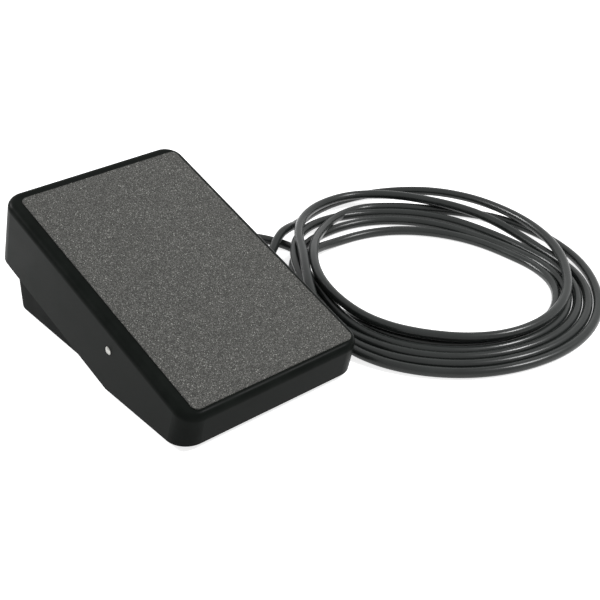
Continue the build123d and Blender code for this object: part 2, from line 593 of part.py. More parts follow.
with BuildPart() as drive_sector:
    with BuildSketch(across(SECTOR_X - SECTOR_THICKNESS / 2)):
        with Locations((PIVOT_Y, PIVOT_Z)):
            Circle(SECTOR_HUB)
        with BuildLine():
            Polyline(
                from_pivot(root_radius, upper_edge),
                beside_pivot(FLANGE_START, FLANGE_TOP),
                beside_pivot(0, SECTOR_HUB),
                (PIVOT_Y, PIVOT_Z),
                from_pivot(SECTOR_HUB, -90),
                from_pivot(root_radius, lower_edge),
            )
            ThreePointArc(
                from_pivot(root_radius, lower_edge),
                from_pivot(root_radius, (lower_edge + upper_edge) / 2),
                from_pivot(root_radius, upper_edge),
            )
        make_face()
        for tooth in range(-SECTOR_TEETH_BELOW, SECTOR_TEETH_ABOVE):
            with Locations(Location((PIVOT_Y, PIVOT_Z), MESH_ANGLE + TOOTH_STEP * (tooth + 0.5))):
                Polygon(
                    (root_radius - 0.5, -tooth_root_half),
                    (root_radius, -tooth_root_half),
                    (tip_radius, -tooth_tip_half),
                    (tip_radius, tooth_tip_half),
                    (root_radius, tooth_root_half),
                    (root_radius - 0.5, tooth_root_half),
                    align=None,
                )
        with BuildLine():
            low_near = from_pivot(SECTOR_WINDOW_START, over_lower_spoke(SECTOR_WINDOW_START))
            low_far = from_pivot(window_end, over_lower_spoke(window_end))
            high_near = from_pivot(SECTOR_WINDOW_START, under_flange(SECTOR_WINDOW_START))
            high_far = from_pivot(window_end, under_flange(window_end))
            Polyline(high_far, high_near, low_near, low_far)
            ThreePointArc(low_far, from_pivot(window_end, (lower_edge + upper_edge) / 2), high_far)
        make_face(mode=Mode.SUBTRACT)
        with Locations((PIVOT_Y, PIVOT_Z)):
            Circle(BORE_RADIUS, mode=Mode.SUBTRACT)
    extrude(amount=SECTOR_THICKNESS)
    with BuildSketch(TOP.offset(FLANGE_TOP - FLANGE_THICKNESS - PIVOT_DEPTH)):
        with Locations((SECTOR_X, PIVOT_ALONG + (FLANGE_START + FLANGE_END) / 2)):
            RectangleRounded(FLANGE_WIDTH, FLANGE_END - FLANGE_START, 4.0)
        for x, along in sector_screw_places:
            with Locations((x, PIVOT_ALONG + along)):
                Circle(SCREW_DIAMETER / 2 + SCREW_CLEARANCE, mode=Mode.SUBTRACT)
    extrude(amount=FLANGE_THICKNESS)
finish(drive_sector, "drive_sector")

with BuildPart() as sector_screws:
    for x, along in sector_screw_places:
        y, z = beside_pivot(along, FLANGE_TOP - FLANGE_THICKNESS)
        pan_head_screw((x, y, z), (0, -sin(TILT), cos(TILT)), SCREW_BITE)
finish(sector_screws, "sector_screws")

# Drive pinion: involute teeth, with a tooth that points at the pivot, and a hub
base_radius = PINION_RADIUS * cos(radians(PRESSURE_ANGLE))
pinion_root = PINION_RADIUS - DEDENDUM
pinion_tip = PINION_RADIUS + ADDENDUM


def roll_angle(radius: float) -> float:
    """Involute angle in radians at a radius: the tangent of its pressure angle less the angle."""
    steep = sqrt(max(radius * radius / (base_radius * base_radius) - 1.0, 0.0))
    return steep - atan(steep)


def pinion_tooth() -> list[tuple[float, float]]:
    """Outline of the pinion tooth that points along its own x."""
    half_angle = HALF_TOOTH / PINION_RADIUS + roll_angle(PINION_RADIUS)
    radii = [base_radius + (pinion_tip - base_radius) * step / 4 for step in range(5)]
    flank = [(radius, half_angle - roll_angle(radius)) for radius in radii]
    polar = [(pinion_root - 0.6, half_angle), *flank]
    upper = [(radius * cos(angle), radius * sin(angle)) for radius, angle in polar]
    return upper + [(x, -y) for x, y in reversed(upper)]


with BuildPart() as drive_pinion:
    with BuildSketch(across(PINION_LEFT)):
        with Locations((PINION_Y, PINION_Z)):
            Circle(pinion_root)
        for tooth in range(PINION_TEETH):
            turn = MESH_ANGLE + 180 + 360 * tooth / PINION_TEETH
            with Locations(Location((PINION_Y, PINION_Z), turn)):
                Polygon(*pinion_tooth(), align=None)
    extrude(amount=PINION_WIDTH)
    cylinder_along((HUB_LEFT, PINION_Y, PINION_Z), (1, 0, 0), PINION_HUB_DIAMETER / 2, PINION_HUB_LENGTH)
    cylinder_along((HUB_LEFT, PINION_Y, PINION_Z), (1, 0, 0), SHAFT_DIAMETER / 2 + THREAD_GAP,
                   PINION_HUB_LENGTH + PINION_WIDTH, Mode.SUBTRACT)
    cylinder_along((HUB_LEFT + PINION_HUB_LENGTH / 2, PINION_Y, PINION_Z), (0, 0, 1),
                   SCREW_DIAMETER / 2 - 0.4 + THREAD_GAP, PINION_HUB_DIAMETER, Mode.SUBTRACT)
finish(drive_pinion, "drive_pinion")

with BuildPart() as pinion_set_screw:
    cylinder_along((HUB_LEFT + PINION_HUB_LENGTH / 2, PINION_Y, PINION_Z + SHAFT_DIAMETER / 2 + THREAD_GAP),
                   (0, 0, 1), SCREW_DIAMETER / 2 - 0.4, (PINION_HUB_DIAMETER - SHAFT_DIAMETER) / 2 - 0.2)
finish(pinion_set_screw, "pinion_set_screw")

# Potentiometer: shaft, body with bushing and lugs, washer and nut
shaft_reach = POT_LENGTH - 4.0
with BuildPart() as potentiometer_shaft:
    cylinder_along((HUB_LEFT - 0.6, PINION_Y, PINION_Z), (1, 0, 0), SHAFT_DIAMETER / 2,
                   POT_FACE + shaft_reach - HUB_LEFT + 0.6)
    chamfer(potentiometer_shaft.faces().sort_by(Axis.X)[0].edges(), 0.5)
finish(potentiometer_shaft, "potentiometer_shaft")

lug_width, lug_reach, lug_thickness = POT_LUG
lug_x = POT_FACE + POT_LENGTH / 2
lug_foot = PINION_Z - POT_DIAMETER / 2 + LUG_INSIDE - lug_width
with BuildPart() as potentiometer_body:
    cylinder_along((POT_FACE, PINION_Y, PINION_Z), (1, 0, 0), POT_DIAMETER / 2, POT_LENGTH)
    fillet(potentiometer_body.faces().sort_by(Axis.X)[-1].edges(), 1.0)
    cylinder_along((BUSHING_LEFT, PINION_Y, PINION_Z), (1, 0, 0), POT_BUSHING_DIAMETER / 2,
                   POT_BUSHING_LENGTH)
    cylinder_along((BUSHING_LEFT, PINION_Y, PINION_Z), (1, 0, 0), SHAFT_DIAMETER / 2 + RUNNING_GAP,
                   POT_BUSHING_LENGTH + shaft_reach + RUNNING_GAP, Mode.SUBTRACT)
    for step in (-1, 0, 1):
        with Locations(Location((lug_x, PINION_Y + step * LUG_STEP, lug_foot))):
            Box(lug_thickness, lug_reach, lug_width, align=(Align.CENTER, Align.CENTER, Align.MIN))
finish(potentiometer_body, "potentiometer_body")

with BuildPart() as potentiometer_washer:
    cylinder_along((BRACKET_LEFT - POT_WASHER, PINION_Y, PINION_Z), (1, 0, 0), POT_NUT_FLATS / 2 + 1.0,
                   POT_WASHER)
    cylinder_along((BRACKET_LEFT - POT_WASHER, PINION_Y, PINION_Z), (1, 0, 0),
                   POT_BUSHING_DIAMETER / 2 + SCREW_CLEARANCE, POT_WASHER, Mode.SUBTRACT)
finish(potentiometer_washer, "potentiometer_washer")

with BuildPart() as potentiometer_nut:
    with BuildSketch(across(BRACKET_LEFT - POT_WASHER - POT_NUT_HEIGHT)):
        with Locations((PINION_Y, PINION_Z)):
            RegularPolygon(POT_NUT_FLATS / 2, 6, major_radius=False)
            Circle(POT_BUSHING_DIAMETER / 2 + THREAD_GAP, mode=Mode.SUBTRACT)
    extrude(amount=POT_NUT_HEIGHT)
finish(potentiometer_nut, "potentiometer_nut")

# Sensor bracket: one folded strip of steel
with BuildPart() as sensor_bracket:
    with BuildSketch(Plane.XZ.offset(-(PINION_Y + BRACKET_WIDTH / 2))):
        Polygon(
            (BRACKET_LEFT, bracket_seat),
            (POT_FACE + BRACKET_FOOT, bracket_seat),
            (POT_FACE + BRACKET_FOOT, bracket_seat + BRACKET_STEEL),
            (POT_FACE, bracket_seat + BRACKET_STEEL),
            (POT_FACE, PINION_Z + BRACKET_ABOVE),
            (BRACKET_LEFT, PINION_Z + BRACKET_ABOVE),
            align=None,
        )
    extrude(amount=BRACKET_WIDTH)
    bend = sensor_bracket.edges().filter_by(Axis.Y)
    fillet(bend.filter_by_position(Axis.Z, bracket_seat - 0.1, bracket_seat + 0.1).sort_by(Axis.X)[0],
           2 * BRACKET_STEEL - 0.2)
    bend = sensor_bracket.edges().filter_by(Axis.Y)
    fillet(bend.filter_by_position(Axis.X, POT_FACE - 0.1, POT_FACE + 0.1).sort_by(Axis.Z)[0],
           BRACKET_STEEL - 0.2)
    fillet(sensor_bracket.edges().filter_by(Axis.X).group_by(Axis.Z)[-1], 4.0)
    cylinder_along((BRACKET_LEFT - 1.0, PINION_Y, PINION_Z), (1, 0, 0),
                   POT_BUSHING_DIAMETER / 2 + SCREW_CLEARANCE, 4.0, Mode.SUBTRACT)
    for x, y in bracket_holes:
        cylinder_along((x, y, bracket_seat - 1.0), (0, 0, 1), SCREW_DIAMETER / 2 + SCREW_CLEARANCE,
                       5.0, Mode.SUBTRACT)
finish(sensor_bracket, "sensor_bracket")

with BuildPart() as bracket_screws:
    for x, y in bracket_holes:
        pan_head_screw((x, y, bracket_seat + BRACKET_STEEL), (0, 0, -1), BRACKET_SCREW)
finish(bracket_screws, "bracket_screws")

# Limit switch: body with end tabs, plunger and lever
switch_width, switch_length, switch_height = SWITCH_SIZE
plunger_y = SWITCH_Y + PLUNGER_OFFSET
with BuildPart() as switch_body:
    box_between((SWITCH_X - switch_width / 2, SWITCH_Y - switch_length / 2, TRAY_INSIDE + SWITCH_LIFT),
                (SWITCH_X + switch_width / 2, SWITCH_Y + switch_length / 2, switch_top))
    chamfer(switch_body.edges().filter_by(Axis.X), 0.8)
    for y, z in switch_holes:
        cylinder_along((SWITCH_X - switch_width, y, z), (1, 0, 0), SCREW_DIAMETER / 2 + SCREW_CLEARANCE,
                       2 * switch_width, Mode.SUBTRACT)
    cylinder_along((SWITCH_X, plunger_y, switch_top - 3.0), (0, 0, 1), PLUNGER_DIAMETER / 2 + RUNNING_GAP,
                   5.0, Mode.SUBTRACT)
    for lift in (5.0, 10.0):
        box_between((SWITCH_X - 0.4, SWITCH_Y + switch_length / 2 - 1.0, TRAY_INSIDE + lift),
                    (SWITCH_X + 0.4, SWITCH_Y + switch_length / 2 + 5.0, TRAY_INSIDE + lift + 3.2))
finish(switch_body, "switch_body")

with BuildPart() as switch_plunger:
    cylinder_along((SWITCH_X, plunger_y, switch_top - 2.0), (0, 0, 1), PLUNGER_DIAMETER / 2,
                   2.0 + PLUNGER_PROUD)
    fillet(switch_plunger.faces().sort_by(Axis.Z)[-1].edges(), 0.6)
finish(switch_plunger, "switch_plunger")

lever_plane = Plane(
    origin=(SWITCH_X - LEVER_WIDTH / 2, lever_hinge_y, lever_hinge_z),
    x_dir=(0, cos(radians(LEVER_TILT)), sin(radians(LEVER_TILT))),
    z_dir=(1, 0, 0),
)
with BuildPart() as switch_lever:
    with BuildSketch(lever_plane):
        Rectangle(LEVER_LENGTH, LEVER_THICKNESS, align=(Align.MIN, Align.MIN))
        Circle(LEVER_ROLL / 2)
    extrude(amount=LEVER_WIDTH)
finish(switch_lever, "switch_lever")

with BuildPart() as switch_screws:
    for y, z in switch_holes:
        pan_head_screw((SWITCH_X - switch_width / 2, y, z), (1, 0, 0), switch_width + 3.5)
finish(switch_screws, "switch_screws")

# Return spring between the tray's cup and the cover's post, with closed ends
spring_height = SPRING_TOP - SPRING_BOTTOM
spring_start = (SPRING_DIAMETER / 2, SPRING_Y, SPRING_BOTTOM + SPRING_WIRE / 2)
with BuildPart() as return_spring:
    with BuildLine():
        Helix(
            pitch=(spring_height - SPRING_WIRE) / SPRING_TURNS,
            height=spring_height - SPRING_WIRE,
            radius=SPRING_DIAMETER / 2,
            center=(0, SPRING_Y, SPRING_BOTTOM + SPRING_WIRE / 2),
        )
    with BuildSketch(Plane(origin=spring_start, z_dir=(0, 1, 0))):
        RegularPolygon(SPRING_WIRE / 2, 8)
    sweep(is_frenet=True)
finish(return_spring, "return_spring")

# Bumpers: a dome on a short body, with a stem in the post below
for bumper_places, bumper_name in ((heel_bumpers_at, "heel_bumpers"), (toe_bumpers_at, "toe_bumpers")):
    with BuildPart() as bumpers:
        for x, y, z in bumper_places:
            with BuildSketch(Plane(origin=(x, y, z), x_dir=(1, 0, 0), z_dir=(0, -1, 0))):
                with BuildLine():
                    CenterArc((0, 0), BUMPER_DIAMETER / 2, 0, 90)
                    Polyline(
                        (0, BUMPER_DIAMETER / 2),
                        (0, -BUMPER_BODY - BUMPER_STEM_LENGTH + 0.5),
                        (BUMPER_STEM / 2 - THREAD_GAP, -BUMPER_BODY - BUMPER_STEM_LENGTH + 0.5),
                        (BUMPER_STEM / 2 - THREAD_GAP, -BUMPER_BODY),
                        (BUMPER_DIAMETER / 2, -BUMPER_BODY),
                        (BUMPER_DIAMETER / 2, 0),
                    )
                make_face()
            revolve(axis=Axis((x, y, z), (0, 0, 1)))
    finish(bumpers, bumper_name)

# Strain relief: a ringed rubber boot that grips the tray's wall between two collars
relief_plane = Plane(origin=(0, EXIT_Y, EXIT_Z), x_dir=(1, 0, 0), z_dir=(0, -1, 0))
relief_axis = Axis((0, EXIT_Y, EXIT_Z), (1, 0, 0))
boot_start = TRAY_HALF_WIDTH + RELIEF_COLLAR_THICKNESS
boot_slope = (RELIEF_DIAMETER - RELIEF_TIP_DIAMETER) / 2 / (RELIEF_TIP - boot_start)
ring_step = (RELIEF_TIP - boot_start) / (RELIEF_RINGS + 1)
with BuildPart() as strain_relief:
    with BuildSketch(relief_plane):
        Polygon(
            (TRAY_INNER_X - RELIEF_COLLAR_THICKNESS, CORD_RADIUS + RELIEF_BORE_GAP),
            (RELIEF_TIP, CORD_RADIUS + RELIEF_BORE_GAP),
            (RELIEF_TIP, RELIEF_TIP_DIAMETER / 2),
            (boot_start, RELIEF_DIAMETER / 2),
            (boot_start, RELIEF_COLLAR / 2),
            (TRAY_HALF_WIDTH, RELIEF_COLLAR / 2),
            (TRAY_HALF_WIDTH, RELIEF_DIAMETER / 2 - RELIEF_BORE_GAP),
            (TRAY_INNER_X, RELIEF_DIAMETER / 2 - RELIEF_BORE_GAP),
            (TRAY_INNER_X, RELIEF_COLLAR / 2),
            (TRAY_INNER_X - RELIEF_COLLAR_THICKNESS, RELIEF_COLLAR / 2),
            align=None,
        )
        for ring in range(RELIEF_RINGS):
            x = boot_start + ring_step * (ring + 1)
            with Locations((x, RELIEF_DIAMETER / 2 - boot_slope * (x - boot_start))):
                Rectangle(RELIEF_SLOT, RELIEF_SLOT, mode=Mode.SUBTRACT)
    revolve(axis=relief_axis)
finish(strain_relief, "strain_relief")

# Jacket end inside the tray, the clamp that holds it and its screws
with BuildPart() as cord_jacket_end:
    cylinder_along((JACKET_END, EXIT_Y, EXIT_Z), (1, 0, 0), CORD_RADIUS, RELIEF_TIP - JACKET_END)
finish(cord_jacket_end, "cord_jacket_end")

with BuildPart() as cord_clamp:
    with BuildSketch(across(clamp_x - CLAMP_LENGTH / 2)):
        with Locations((EXIT_Y, EXIT_Z)):
            Circle(CORD_RADIUS + CLAMP_STRAP)
            Rectangle(CLAMP_WIDTH, CLAMP_STRAP, align=(Align.CENTER, Align.MIN))
            Circle(CORD_RADIUS + RELIEF_BORE_GAP, mode=Mode.SUBTRACT)
            Rectangle(CLAMP_WIDTH, CLAMP_WIDTH, align=(Align.CENTER, Align.MAX), mode=Mode.SUBTRACT)
    extrude(amount=CLAMP_LENGTH)
    for x, y in clamp_holes:
        cylinder_along((x, y, EXIT_Z - 1.0), (0, 0, 1), SCREW_DIAMETER / 2 + SCREW_CLEARANCE,
                       5.0, Mode.SUBTRACT)
finish(cord_clamp, "cord_clamp")

with BuildPart() as clamp_screws:
    for x, y in clamp_holes:
        pan_head_screw((x, y, EXIT_Z + CLAMP_STRAP), (0, 0, -1), SCREW_BITE)
finish(clamp_screws, "clamp_screws")

# Wires: three to the potentiometer's lugs, two along the floor to the limit switch
floor_run = TRAY_INSIDE + WIRE_DIAMETER / 2 + 0.1
switch_end = SWITCH_Y + switch_length / 2
sensor_routes = [
    [
        (JACKET_END, EXIT_Y + step * 1.8, EXIT_Z + 1.2),
        (JACKET_END - 4.0, EXIT_Y + step * 1.8, EXIT_Z + 1.2),
        (lug_x, PINION_Y + step * LUG_STEP, EXIT_Z + 9.0),
        (lug_x, PINION_Y + step * LUG_STEP, lug_foot),
    ]
    for step in (-1, 0, 1)
]
switch_routes = [
    [
        (JACKET_END, EXIT_Y + step, EXIT_Z - 0.8),
        (JACKET_END - 3.2 - step, EXIT_Y + step, EXIT_Z - 0.8),
        (JACKET_END - 3.0 - step, EXIT_Y - 15.0, EXIT_Z - 0.8),
        (JACKET_END - 2.6 - step, EXIT_Y - 27.0, floor_run),
        (JACKET_END - 4.0 - step, PIVOT_Y + 6.0, floor_run),
        (0.0, switch_end + 9.0 + step, floor_run),
        (SWITCH_X, switch_end + 14.0 + step, floor_run),
        (SWITCH_X, switch_end + 5.0, TRAY_INSIDE + lift + 1.6),
    ]
    for step, lift in ((-1.3, 5.0), (1.3, 10.0))
]


def round_cords(routes: list, radius: float, largest: float) -> BuildPart:
    """Round cords, each along straight runs that are joined by tangent arcs."""
    with BuildPart() as cords:
        for route in routes:
            radii = [min(arc, largest) for arc in corner_radii(route)]
            with BuildLine() as path:
                FilletPolyline(*route, radius=radii)
            with BuildSketch(Plane(origin=path.line @ 0, z_dir=path.line % 0)):
                Circle(radius)
            sweep(path=path.line)
            section_by_length = round(pi * radius**2 * path.wire().length)
            print("arcs", [round(arc, 1) for arc in radii], "section by length", section_by_length)
    print("volume", round(cords.part.volume))
    return cords


sensor_wires = round_cords(sensor_routes, WIRE_DIAMETER / 2, WIRE_BEND)
finish(sensor_wires, "sensor_wires")

switch_wires = round_cords(switch_routes, WIRE_DIAMETER / 2, WIRE_BEND)
finish(switch_wires, "switch_wires")

# Cord: the lead to the coil, the tail to the plug and the coil's outer shape
cord_lead = round_cords([LEAD_ROUTE], CORD_RADIUS, LARGEST_BEND)
finish(cord_lead, "cord_lead")

cord_tail = round_cords([TAIL_ROUTE], CORD_RADIUS, LARGEST_BEND)
finish(cord_tail, "cord_tail")

with BuildPart() as cord_coil:
    with BuildSketch(Plane.XY.offset(COIL_LIFT)):
        with BuildLine():
            FilletPolyline(*COIL_OUTER, radius=COIL_BEND, close=True)
        make_face()
        offset(amount=CORD_RADIUS)
    extrude(amount=COIL_HEIGHT)
    fillet(cord_coil.faces().sort_by(Axis.Z)[-1].edges(), COIL_EDGE)
    with BuildSketch(Plane.XY.offset(COIL_LIFT)):
        with BuildLine():
            FilletPolyline(*COIL_INNER, radius=COIL_BEND, close=True)
        make_face()
        offset(amount=-CORD_RADIUS)
    extrude(amount=COIL_HEIGHT, mode=Mode.SUBTRACT)
finish(cord_coil, "cord_coil")

# Plug: a round multi-pin plug on the tail's end, pointing towards the heel
plug_x = TAIL_ROUTE[-2][0]
plug_z = TAIL_ROUTE[-2][2]
plug_rear = TAIL_ROUTE[-1][1] + PLUG_CORD_INSIDE
plug_plane = Plane(origin=(plug_x, plug_rear, plug_z), x_dir=(0, -1, 0), z_dir=(-1, 0, 0))
plug_axis = Axis((plug_x, plug_rear, plug_z), (0, -1, 0))
shell_start = PLUG_CLAMP_LENGTH
shell_end = shell_start + PLUG_SHELL_LENGTH
ring_start = shell_end - PLUG_RING_LENGTH * 0.6
ring_end = ring_start + PLUG_RING_LENGTH
insert_face = shell_end - 1.0
grip_radius = PLUG_GRIP_DIAMETER / 2
cord_bore = CORD_RADIUS + 2 * RELIEF_BORE_GAP

with BuildPart() as plug_cable_clamp:
    with BuildSketch(plug_plane):
        Polygon(
            (0, cord_bore),
            (shell_start, cord_bore),
            (shell_start, PLUG_CLAMP_DIAMETER / 2),
            (3.0, PLUG_CLAMP_DIAMETER / 2 - 0.6),
            (0, PLUG_CLAMP_DIAMETER / 2 - 1.4),
            align=None,
        )
    revolve(axis=plug_axis)
finish(plug_cable_clamp, "plug_cable_clamp")

with BuildPart() as plug_shell:
    with BuildSketch(plug_plane):
        Polygon(
            (shell_start, cord_bore),
            (shell_start + 2.5, cord_bore),
            (shell_start + 2.5, grip_radius - PLUG_WALL),
            (shell_end, grip_radius - PLUG_WALL),
            (shell_end, grip_radius - PLUG_STEP),
            (ring_start - 1.0, grip_radius - PLUG_STEP),
            (ring_start - 1.0, grip_radius),
            (shell_start + 2.0, grip_radius),
            (shell_start, grip_radius - 1.2),
            align=None,
        )
    revolve(axis=plug_axis)
finish(plug_shell, "plug_shell")

with BuildPart() as plug_insert:
    with BuildSketch(plug_plane):
        Polygon(
            (insert_face - PLUG_INSERT_LENGTH, 0),
            (insert_face, 0),
            (insert_face, grip_radius - PLUG_WALL - RELIEF_BORE_GAP),
            (insert_face - PLUG_INSERT_LENGTH, grip_radius - PLUG_WALL - RELIEF_BORE_GAP),
            align=None,
        )
    revolve(axis=plug_axis)
    pin_plane = Plane(origin=(plug_x, plug_rear - insert_face, plug_z), x_dir=(1, 0, 0), z_dir=(0, -1, 0))
    with BuildSketch(pin_plane):
        with PolarLocations(PLUG_PIN_CIRCLE / 2, PLUG_PINS):
            Circle(PLUG_PIN_DIAMETER / 2)
    extrude(amount=ring_end - insert_face - 1.5)
finish(plug_insert, "plug_insert")

with BuildPart() as plug_coupling_ring:
    with BuildSketch(plug_plane):
        Polygon(
            (ring_start, grip_radius - PLUG_STEP + RUNNING_GAP),
            (shell_end + SEAT_GAP, grip_radius - PLUG_STEP + RUNNING_GAP),
            (shell_end + SEAT_GAP, PLUG_RING_BORE / 2),
            (ring_end, PLUG_RING_BORE / 2),
            (ring_end, PLUG_DIAMETER / 2 - 0.5),
            (ring_end - 0.5, PLUG_DIAMETER / 2),
            (ring_start + 0.5, PLUG_DIAMETER / 2),
            (ring_start, PLUG_DIAMETER / 2 - 0.5),
            align=None,
        )
    revolve(axis=plug_axis)
    with BuildSketch(Plane(origin=(plug_x, plug_rear - ring_start, plug_z), z_dir=(0, -1, 0))):
        with PolarLocations(PLUG_DIAMETER / 2 + 0.25, PLUG_FLUTES):
            Circle(0.8)
    extrude(amount=PLUG_RING_LENGTH, mode=Mode.SUBTRACT)
finish(plug_coupling_ring, "plug_coupling_ring")
print("pivot", PIVOT_Y, PIVOT_Z, "pinion", PINION_Y, PINION_Z, "lever", lever_hinge_y, lever_hinge_z)
print("plug", plug_rear - ring_end, plug_rear - shell_end, "foot", foot_places[-1])
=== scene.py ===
"""Welding foot pedal: finishes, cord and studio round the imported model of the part.

Metres, in the part's own frame: +Z up, +Y towards the toe end, +X towards the side that the cord
leaves, with the origin on the floor under the middle of the pedal.
"""

import json
import logging
import math
from dataclasses import dataclass
from enum import Enum
from typing import Any

import bpy
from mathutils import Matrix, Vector


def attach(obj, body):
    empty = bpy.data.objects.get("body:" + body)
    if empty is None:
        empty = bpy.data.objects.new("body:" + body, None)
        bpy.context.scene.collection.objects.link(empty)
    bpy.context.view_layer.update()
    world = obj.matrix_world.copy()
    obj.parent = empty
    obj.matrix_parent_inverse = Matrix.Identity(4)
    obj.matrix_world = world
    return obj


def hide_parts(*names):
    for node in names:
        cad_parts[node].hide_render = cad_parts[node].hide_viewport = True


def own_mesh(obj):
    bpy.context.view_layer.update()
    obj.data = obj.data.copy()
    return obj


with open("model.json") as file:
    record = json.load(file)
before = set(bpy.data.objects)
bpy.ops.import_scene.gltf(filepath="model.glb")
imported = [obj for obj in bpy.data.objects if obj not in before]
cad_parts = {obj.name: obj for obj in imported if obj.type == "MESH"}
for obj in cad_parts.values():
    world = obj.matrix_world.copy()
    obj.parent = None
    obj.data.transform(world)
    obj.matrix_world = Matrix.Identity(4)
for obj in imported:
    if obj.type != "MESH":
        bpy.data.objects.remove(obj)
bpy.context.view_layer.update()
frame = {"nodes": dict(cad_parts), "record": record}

log = logging.getLogger("foot_pedal")

MM = 0.001
WHITE = (1.0, 1.0, 1.0, 1.0)


def linear(code: str) -> tuple[float, float, float, float]:
    """Turns an sRGB hex colour into Blender's linear values.

    Args:
        code: The colour, such as "#1c1e1d".

    Returns:
        Red, green, blue and an alpha of 1.
    """
    parts = [int(code[i:i + 2], 16) / 255 for i in (1, 3, 5)]
    return (*[p / 12.92 if p <= 0.04045 else ((p + 0.055) / 1.055) ** 2.4 for p in parts], 1.0)


def add_node(
    tree: bpy.types.NodeTree,
    kind: str,
    values: dict[str | int, Any] | None = None,
    links: dict[str | int, bpy.types.NodeSocket] | None = None,
    **settings: Any,
) -> bpy.types.Node:
    """Adds a node to a tree.

    Args:
        tree: The material's or world's node tree.
        kind: The node's type name.
        values: Input socket to its value.
        links: Input socket to the output socket that feeds it.
        **settings: The node's own properties.

    Returns:
        The new node.
    """
    node = tree.nodes.new(kind)
    for name, value in settings.items():
        setattr(node, name, value)
    for socket, value in (values or {}).items():
        node.inputs[socket].default_value = value
    for socket, source in (links or {}).items():
        tree.links.new(source, node.inputs[socket])
    return node


def blank_material(name: str) -> tuple[bpy.types.Material, bpy.types.NodeTree]:
    """Makes a material with an empty node tree.

    Args:
        name: The material's name.

    Returns:
        The material and its tree.
    """
    material = bpy.data.materials.new(name)
    material.use_nodes = True
    material.node_tree.nodes.clear()
    return material, material.node_tree


def set_ramp(node: bpy.types.Node, stops: list[tuple[float, str]]) -> None:
    """Sets a colour ramp's stops.

    Args:
        node: The colour ramp node.
        stops: Pairs of position and hex colour, in order.
    """
    elements = node.color_ramp.elements
    while len(elements) > len(stops):
        elements.remove(elements[-1])
    while len(elements) < len(stops):
        elements.new(1.0)
    for element, (place, code) in zip(elements, stops):
        element.position = place
        element.color = linear(code)


@dataclass(frozen=True)
class MouldedFinish:
    """A moulded plastic or rubber with the fine grain of its tool and a little uneven sheen.

    Attributes:
        name: The material's name.
        colour: Its main colour.
        worn: The slightly paler colour of its clouds.
        roughness: How matt it is, from 0 to 1.
        grain_mm: Width of the tool's grain.
        grain_depth_mm: Depth of that grain.
        ior: Index of refraction.
        mottling_mm: Width of the clouds.
        specular: Level of its gloss, where 0.5 is a clean surface.
    """

    name: str
    colour: str
    worn: str
    roughness: float
    grain_mm: float
    grain_depth_mm: float = 0.03
    ior: float = 1.5
    mottling_mm: float = 18.0
    specular: float = 0.5

    def build(self) -> bpy.types.Material:
        """Builds the material.

        Returns:
            The material with its finished node tree.
        """
        material, tree = blank_material(self.name)
        place = add_node(tree, "ShaderNodeTexCoord").outputs["Object"]
        clouds = add_node(
            tree, "ShaderNodeTexNoise",
            {"Scale": 1 / (self.mottling_mm * MM), "Detail": 4.0, "Roughness": 0.55}, {"Vector": place},
        )
        tint = add_node(tree, "ShaderNodeValToRGB", links={"Fac": clouds.outputs["Fac"]})
        set_ramp(tint, [(0.35, self.colour), (0.75, self.worn)])
        grain = add_node(
            tree, "ShaderNodeTexNoise",
            {"Scale": 1 / (self.grain_mm * MM), "Detail": 2.0, "Roughness": 0.6}, {"Vector": place},
        )
        sheen = add_node(
            tree, "ShaderNodeMapRange",
            {"From Min": 0.3, "From Max": 0.7, "To Min": self.roughness - 0.05,
             "To Max": self.roughness + 0.06},
            {"Value": clouds.outputs["Fac"]},
        )
        bump = add_node(
            tree, "ShaderNodeBump", {"Strength": 1.0, "Distance": self.grain_depth_mm * MM},
            {"Height": grain.outputs["Fac"]},
        )
        shader = add_node(
            tree, "ShaderNodeBsdfPrincipled", {"IOR": self.ior, "Specular IOR Level": self.specular},
            {"Base Color": tint.outputs["Color"], "Roughness": sheen.outputs["Result"],
             "Normal": bump.outputs["Normal"]},
        )
        add_node(tree, "ShaderNodeOutputMaterial", links={"Surface": shader.outputs["BSDF"]})
        return material


@dataclass(frozen=True)
class MetalFinish:
    """A bare or plated metal with fine marks of turning, drawing or rolling.

    Attributes:
        name: The material's name.
        colour: Its main colour.
        dull: The darker colour of its marks.
        roughness: How matt it is, from 0 to 1.
        mark_mm: Width of the marks.
        stretch: How closely the marks lie along each axis.
    """

    name: str
    colour: str
    dull: str
    roughness: float
    mark_mm: float
    stretch: tuple[float, float, float] = (1.0, 1.0, 1.0)

    def build(self) -> bpy.types.Material:
        """Builds the material.

        Returns:
            The material with its finished node tree.
        """
        material, tree = blank_material(self.name)
        place = add_node(tree, "ShaderNodeTexCoord").outputs["Object"]
        turned = add_node(tree, "ShaderNodeMapping", {"Scale": self.stretch}, {"Vector": place})
        marks = add_node(
            tree, "ShaderNodeTexNoise",
            {"Scale": 1 / (self.mark_mm * MM), "Detail": 3.0}, {"Vector": turned.outputs["Vector"]},
        )
        tint = add_node(tree, "ShaderNodeValToRGB", links={"Fac": marks.outputs["Fac"]})
        set_ramp(tint, [(0.3, self.colour), (0.8, self.dull)])
        rough = add_node(
            tree, "ShaderNodeMapRange",
            {"From Min": 0.3, "From Max": 0.7, "To Min": self.roughness - 0.06,
             "To Max": self.roughness + 0.1},
            {"Value": marks.outputs["Fac"]},
        )
        shader = add_node(
            tree, "ShaderNodeBsdfPrincipled", {"Metallic": 1.0},
            {"Base Color": tint.outputs["Color"], "Roughness": rough.outputs["Result"]},
        )
        add_node(tree, "ShaderNodeOutputMaterial", links={"Surface": shader.outputs["BSDF"]})
        return material


